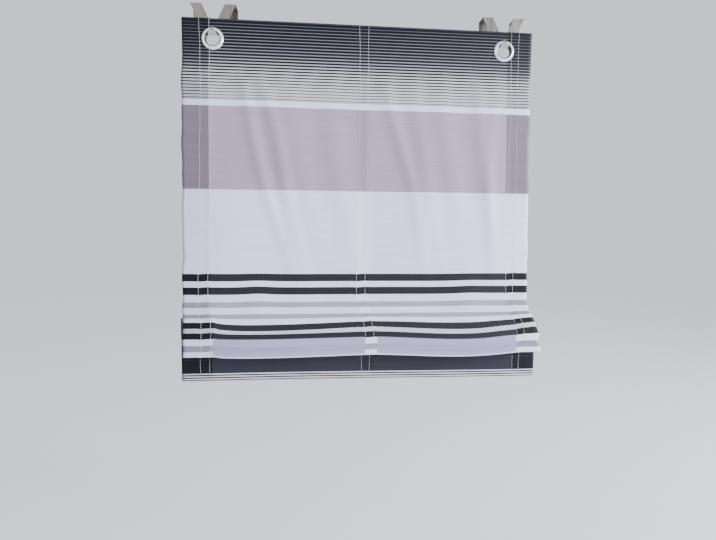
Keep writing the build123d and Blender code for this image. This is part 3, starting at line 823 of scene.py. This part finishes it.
def print_with_painted_shade(tree, u, s, weave):
    """The colour at a place on the cloth, its print with painted light and shade, from u and s
    in millimetres.
    """
    front = bands(tree, s, -60.0, 650.0, FRONT_BANDS)
    back = bands(tree, s, HIDDEN_START, END - HIDDEN_START + 2.0, BACK_BANDS)
    plain = blend(tree, calc(tree, "GREATER_THAN", s, HIDDEN_START), front, back)
    # pinstripes: a light line in every pitch, wider and brighter further down
    row = calc(tree, "FRACT", calc(tree, "DIVIDE", s, LINE_PITCH))
    away = calc(tree, "ABSOLUTE", calc(tree, "SUBTRACT", row, 0.5))
    half_width = ease(tree, s, 22.0, 150.0, 0.12, 0.39)
    inner_edge = calc(tree, "SUBTRACT", half_width, LINE_SOFT)
    outer_edge = calc(tree, "ADD", half_width, LINE_SOFT)
    line = ease(tree, away, inner_edge, outer_edge, 1.0, 0.0)
    down = calc(tree, "DIVIDE", s, OMBRE_END, clamp=True)
    ground = ramp(tree, down, GROUND_SHADES)
    pinstripes = blend(tree, line, ground, ramp(tree, down, LINE_SHADES))
    top = calc(tree, "LESS_THAN", s, OMBRE_END)
    shade = blend(tree, top, plain, pinstripes)
    # a fine slanting hatch in the pale band between the two dark stripes of the fold
    along_u, along_s = calc(tree, "MULTIPLY", u, 0.62), calc(tree, "MULTIPLY", s, 1.1)
    slant = calc(tree, "SINE", calc(tree, "ADD", along_u, along_s))
    hatched = window(tree, s, (520.0, 522.0), (526.4, 528.4))
    patches = ease(tree, noise(tree, weave, 9.0, detail=1.0), 0.42, 0.62)
    hatch = calc(tree, "MULTIPLY", hatched, ease(tree, slant, 0.0, 0.9, 0.0, 0.7))
    hatch = calc(tree, "MULTIPLY", hatch, patches)
    shade = blend(tree, hatch, shade, colour(226, 230, 232))
    # painted shade on the two layers at the sides and behind the middle tape, where the cloth is
    # coloured
    side = ease(tree, calc(tree, "ABSOLUTE", calc(tree, "ADD", u, 0.5)), 256.0, 258.5)
    from_middle = calc(tree, "ABSOLUTE", calc(tree, "SUBTRACT", u, 1.0))
    centre = ease(tree, from_middle, 9.0, 11.0, 1.0, 0.0)
    doubled = calc(tree, "ADD", side, calc(tree, "MULTIPLY", centre, 0.3), clamp=True)
    to_grey = tree.nodes.new("ShaderNodeRGBToBW")
    plug(tree, shade, to_grey.inputs[0])
    grey = to_grey.outputs[0]
    dark_painted_shade = ease(tree, grey, 0.02, 0.16, 0.85, 0.0)
    mid_share = ease(tree, s, 280.0, 282.0, 0.46, 0.2)
    mid_painted_shade = calc(tree, "MULTIPLY", ease(tree, grey, 0.4, 0.66, 1.0, 0.0), mid_share)
    depth = calc(tree, "MULTIPLY", doubled, calc(tree, "MAXIMUM", dark_painted_shade, mid_painted_shade))
    # painted shade: the double layers blend towards near black
    shade = blend(tree, depth, shade, colour(12, 12, 18))
    # painted light: white over white is brighter, behind the middle tape and down the right side
    bright = calc(tree, "MULTIPLY", ease(tree, grey, 0.62, 0.7), 0.6)
    painted_light_zone = calc(tree, "ADD", centre, ease(tree, u, 252.0, 260.0), clamp=True)
    bright = calc(tree, "MULTIPLY", painted_light_zone, bright)
    shade = blend(tree, bright, shade, colour(244, 244, 250))
    # painted shade: thin cloth over dark layers turns lavender, only between the tapes
    over = window(tree, s, (537.6, 539.0), (565.0, 567.5))
    single = calc(tree, "SUBTRACT", 1.0, calc(tree, "ADD", side, centre, clamp=True), clamp=True)
    through = calc(tree, "MULTIPLY", calc(tree, "MULTIPLY", over, single), 0.92)
    shade = blend(tree, through, shade, LAVENDER_PAINTED_SHADE)
    # uneven yarn: long streaks across the cloth, and a broad drift of tone
    streak = noise(tree, weave, 1.0, (9.0, 420.0, 1.0), 4.0, 0.6)
    drift = noise(tree, weave, 14.0, (1.0, 0.35, 1.0), 2.0)
    streaks, drifts = calc(tree, "MULTIPLY", streak, 0.40), calc(tree, "MULTIPLY", drift, 0.16)
    value = calc(tree, "ADD", calc(tree, "ADD", streaks, drifts), 0.72)
    # painted shade on the left side: a thin dark line at its edge, a duller hem, and the dark
    # edge of the hidden folds
    for low, high, least in ((-299.0, -298.2, 0.5), (-258.5, -256.0, 0.84)):
        value = calc(tree, "MULTIPLY", value, ease(tree, u, low, high, least, 1.0))
    hidden_edge_shade = window(tree, s, (588.0, 592.0), (E - 95.0, E - 90.0))
    hidden_edge_shade = calc(tree, "MULTIPLY", hidden_edge_shade, ease(tree, u, -297.5, -295.5, 1.0, 0.0))
    hidden_edge_shade = calc(tree, "SUBTRACT", 1.0, calc(tree, "MULTIPLY", hidden_edge_shade, 0.85))
    value = calc(tree, "MULTIPLY", value, hidden_edge_shade)
    # the yarn tone times the painted shade of the left side
    yarn_and_painted_shade = tree.nodes.new("ShaderNodeCombineColor")
    for socket in yarn_and_painted_shade.inputs:
        plug(tree, value, socket)
    return blend(tree, 1.0, shade, yarn_and_painted_shade.outputs[0], "MULTIPLY"), streak


def woven_height(tree, u, s, pitch):
    """A plain weave: the product of two fine waves, one along each yarn direction."""
    wave_u = calc(tree, "SINE", calc(tree, "MULTIPLY", u, 2 * math.pi / pitch))
    wave_s = calc(tree, "SINE", calc(tree, "MULTIPLY", s, 2 * math.pi / pitch))
    return calc(tree, "MULTIPLY", wave_u, wave_s)


def cloth_place(tree):
    """u and s in millimetres, and the UV vector itself, from the map named cloth."""
    node = tree.nodes.new("ShaderNodeUVMap")
    node.uv_map = "cloth"
    split = tree.nodes.new("ShaderNodeSeparateXYZ")
    plug(tree, node.outputs[0], split.inputs[0])
    u = calc(tree, "MULTIPLY", split.outputs[0], 1 / MM)
    s = calc(tree, "MULTIPLY", split.outputs[1], 1 / MM)
    return u, s, node.outputs[0]


# %% The cloth's finish
YARN_PITCH, RIB_PITCH, CROSS_PITCH = 0.8, 1.6, 1.1
FIBRE_SCALE = 2500.0
printed, tree, shader = new_material("printed_cloth", Roughness=0.55, Sheen_Weight=0.03,
                                     Sheen_Roughness=0.4, Specular_IOR_Level=0.16)
u, s, weave = cloth_place(tree)
shade, streak = print_with_painted_shade(tree, u, s, weave)
plug(tree, shade, shader.inputs["Base Color"])
weave_height = woven_height(tree, u, s, YARN_PITCH)
height = calc(tree, "ADD", weave_height, calc(tree, "MULTIPLY", streak, 1.5))
raised(tree, shader, height, 0.00006, 0.5)
for piece in (cloth, *side_hems):
    paint(piece, printed)

# %% Tape, thread and cord
tape_cloth, tree, shader = new_material("woven_tape", Roughness=0.75, Sheen_Weight=0.25)
u, s, weave = cloth_place(tree)
ribs = calc(tree, "SINE", calc(tree, "MULTIPLY", u, 2 * math.pi / RIB_PITCH))
cross = calc(tree, "SINE", calc(tree, "MULTIPLY", s, 2 * math.pi / CROSS_PITCH))
plug(tree, blend(tree, noise(tree, weave, 260.0), colour(222, 222, 226), colour(240, 240, 242)),
     shader.inputs["Base Color"])
raised(tree, shader, calc(tree, "ADD", ribs, calc(tree, "MULTIPLY", cross, 0.6)), 0.0001, 0.7)
for tape in tapes.values():
    paint(tape, tape_cloth)


def object_place(tree):
    """The place of a point of the piece, in metres."""
    return tree.nodes.new("ShaderNodeTexCoord").outputs["Object"]


thread, tree, shader = new_material("white_thread", Roughness=0.55, Sheen_Weight=0.3)
fibres = noise(tree, object_place(tree), FIBRE_SCALE, detail=1.0)
plug(tree, blend(tree, fibres, colour(218, 219, 228), colour(242, 243, 250)),
     shader.inputs["Base Color"])
raised(tree, shader, fibres, 0.00005, 0.5)
for piece in (stitches_front, stitches_back):
    paint(piece, thread)

hem_thread, tree, shader = new_material("dark_thread", Roughness=0.6)
fibres = noise(tree, object_place(tree), FIBRE_SCALE, detail=1.0)
plug(tree, blend(tree, fibres, colour(70, 70, 80), colour(108, 108, 118)),
     shader.inputs["Base Color"])
paint(stitches_hem, hem_thread)

braid, tree, shader = new_material("braided_cord", Roughness=0.7, Sheen_Weight=0.2)
split = tree.nodes.new("ShaderNodeSeparateXYZ")
plug(tree, object_place(tree), split.inputs[0])
slant = calc(tree, "MULTIPLY", split.outputs[0], 900.0)
up = calc(tree, "MULTIPLY", split.outputs[2], 3600.0)
left_lay = calc(tree, "SINE", calc(tree, "ADD", up, slant))
right_lay = calc(tree, "SINE", calc(tree, "SUBTRACT", up, slant))
strands = calc(tree, "MULTIPLY", left_lay, right_lay)
# painted shade in the grooves of the braid and painted light on its strands, by the bump height
light = ease(tree, strands, -1.0, 1.0)
plug(tree, blend(tree, light, colour(205, 205, 208), colour(244, 244, 245)),
     shader.inputs["Base Color"])
raised(tree, shader, strands, 0.00015, 0.8)

# %% [markdown]
# ## Plastic and metal
# The rings and stoppers are moulded plastic, with a faint mottle that keeps them from
# looking like paint. The eyelets are polished and plated, so almost everything they show
# is a reflection of the room. The hooks are bent from sheet steel that was brushed along
# its length, which draws the highlights out into lines.

# %% Finishes of the ready pieces
def plastic(name, low, high, roughness):
    """Moulded plastic: two close shades mottled by noise, and a faint orange peel."""
    material, tree, shader = new_material(name, Roughness=roughness, Specular_IOR_Level=0.45)
    spots = noise(tree, object_place(tree), 700.0, detail=4.0)
    plug(tree, blend(tree, spots, colour(*low), colour(*high)), shader.inputs["Base Color"])
    raised(tree, shader, spots, 0.00004, 0.25)
    return material


def metal(name, low, high, scale, stretch, rough, bumps):
    """Metal: brushing as stretched noise that changes the shade, gloss and height."""
    material, tree, shader = new_material(name, Metallic=1.0)
    brushed = noise(tree, object_place(tree), scale, stretch, detail=5.0, rough=0.65)
    plug(tree, blend(tree, brushed, colour(*low), colour(*high)), shader.inputs["Base Color"])
    plug(tree, ease(tree, brushed, 0.3, 0.7, *rough), shader.inputs["Roughness"])
    raised(tree, shader, brushed, bumps, 0.4)
    return material


def plated_eyelet():
    """Bright plating, with painted shade inside the barrel, within 13 mm of each eyelet's axis.
    """
    material, tree, shader = new_material("plated_eyelet", Metallic=0.55)
    place = object_place(tree)
    split = tree.nodes.new("ShaderNodeSeparateXYZ")
    plug(tree, place, split.inputs[0])
    hole_x, hole_z = EYELETS[1]
    over = calc(tree, "SUBTRACT", calc(tree, "ABSOLUTE", split.outputs[0]), hole_x * MM)
    up = calc(tree, "SUBTRACT", split.outputs[2], hole_z * MM)
    over, up = calc(tree, "MULTIPLY", over, over), calc(tree, "MULTIPLY", up, up)
    away = calc(tree, "SQRT", calc(tree, "ADD", over, up))
    # painted shade: near black inside the barrel, up to 12.7 to 13.7 mm from the axis
    outside = ease(tree, away, 12.7 * MM, 13.7 * MM)
    wear = noise(tree, place, 500.0, detail=4.0)
    plated = blend(tree, wear, colour(240, 241, 244), colour(253, 253, 254))
    plug(tree, blend(tree, outside, colour(26, 26, 30), plated), shader.inputs["Base Color"])
    plug(tree, ease(tree, wear, 0.3, 0.7, 0.2, 0.3), shader.inputs["Roughness"])
    raised(tree, shader, wear, 0.00001, 0.4)
    return material


def brushed_hook():
    """Brushed steel, with a lighter colour on its tongue where the eyelet hangs, below -47 mm.
    """
    material = metal("brushed_hook", (128, 121, 112), (184, 178, 168), 160.0, (1, 1, 0.04),
                     (0.3, 0.45), 0.00003)
    tree = material.node_tree
    shader = tree.nodes["Principled BSDF"]
    split = tree.nodes.new("ShaderNodeSeparateXYZ")
    plug(tree, object_place(tree), split.inputs[0])
    tongue = ease(tree, split.outputs[2], -47 * MM, -43 * MM, 1.0, 0.0)
    steel = shader.inputs["Base Color"].links[0].from_socket
    plug(tree, blend(tree, tongue, steel, colour(206, 204, 200)), shader.inputs["Base Color"])
    return material


finishes = {
    "cord_rings": plastic("ring_plastic", (214, 215, 216), (238, 239, 240), 0.35),
    "stopper_barrel": plastic("stopper_shell", (226, 227, 228), (241, 242, 242), 0.3),
    "stopper_plunger": plastic("stopper_button", (208, 210, 212), (232, 233, 234), 0.33),
    "spring_coil": metal("spring_steel", (150, 150, 154), (205, 206, 210), 900.0, (1, 1, 1),
                         (0.2, 0.32), 0.00001),
    "eyelet_front": plated_eyelet(),
    "eyelet_washer": metal("plated_washer", (205, 206, 210), (232, 233, 236), 400.0,
                           (1, 1, 1), (0.2, 0.3), 0.00001),
    "sash_hook": brushed_hook(),
    "weight_bar": metal("bar_aluminium", (196, 197, 200), (224, 225, 228), 120.0,
                        (0.03, 1, 1), (0.3, 0.45), 0.00002),
    "top_stiffener": plastic("stiffener_plastic", (225, 226, 226), (240, 240, 240), 0.5),
    "lift_cord": braid,
}
pieces = {**frame["nodes"], **{coil.name: coil for coil in springs.values()}}
for name, node in pieces.items():
    for start, material in finishes.items():
        if name.startswith(start):
            paint(node, material)
print(len(finishes), "finishes on the ready pieces")

# %% [markdown]
# ## Floor and light
# The blind hangs, so the pale floor lies well below it. The light is plain: a pale sky all
# round, and a large soft lamp stands far to the right, so that its light grazes the cloth
# and draws out its shallow folds. A weak warm lamp on the left only opens the shadows,
# because a second lamp as strong as the first would wipe the folds out again.

# %% Floor and lights
FLOOR_DROP, REACH = 0.55, 40.0
SKY_STRENGTH = 1.25
LAMP_AIM, LAMP_SIZE = (0, 0, -0.3), 1.2
low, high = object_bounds()
floor_mesh = bpy.data.meshes.new("floor")
floor_z = low.z - FLOOR_DROP
floor_mesh.from_pydata([(-REACH, -REACH, floor_z), (REACH, -REACH, floor_z),
                        (REACH, REACH, floor_z), (-REACH, REACH, floor_z)], [], [(0, 1, 2, 3)])
floor = bpy.data.objects.new("floor", floor_mesh)
bpy.context.scene.collection.objects.link(floor)
pale, tree, shader = new_material("pale_floor", Roughness=0.9, Specular_IOR_Level=0.1,
                                  Emission_Color=(1.0, 1.0, 1.04, 1.0), Emission_Strength=0.26)
dust = noise(tree, object_place(tree), 6.0)
plug(tree, blend(tree, dust, colour(214, 213, 222), colour(220, 219, 227)),
     shader.inputs["Base Color"])
paint(floor, pale)

world = bpy.data.worlds.new("studio")
bpy.context.scene.world = world
world.use_nodes = True
sky = world.node_tree.nodes["Background"]
sky.inputs["Color"].default_value = colour(224, 226, 236)
sky.inputs["Strength"].default_value = SKY_STRENGTH


def soft_lamp(name, place, power, tint):
    """A square lamp that faces the middle of the blind."""
    lamp = bpy.data.objects.new(name, bpy.data.lights.new(name, "AREA"))
    bpy.context.scene.collection.objects.link(lamp)
    lamp.data.size = LAMP_SIZE
    lamp.data.energy = power
    lamp.data.color = tint
    lamp.location = place
    direction = np.array(LAMP_AIM) - np.array(place)
    sideways = math.atan2(direction[0], direction[1])
    rise = math.atan2(direction[2], math.hypot(direction[0], direction[1]))
    lamp.rotation_euler = (math.pi / 2 + rise, 0, -sideways)
    return lamp


soft_lamp("lamp_left", (-2.2, -2.4, 0.6), 14.0, (1.0, 0.97, 0.94))
soft_lamp("lamp_right", (2.9, -1.35, 0.5), 215.0, (0.90, 0.94, 1.0))
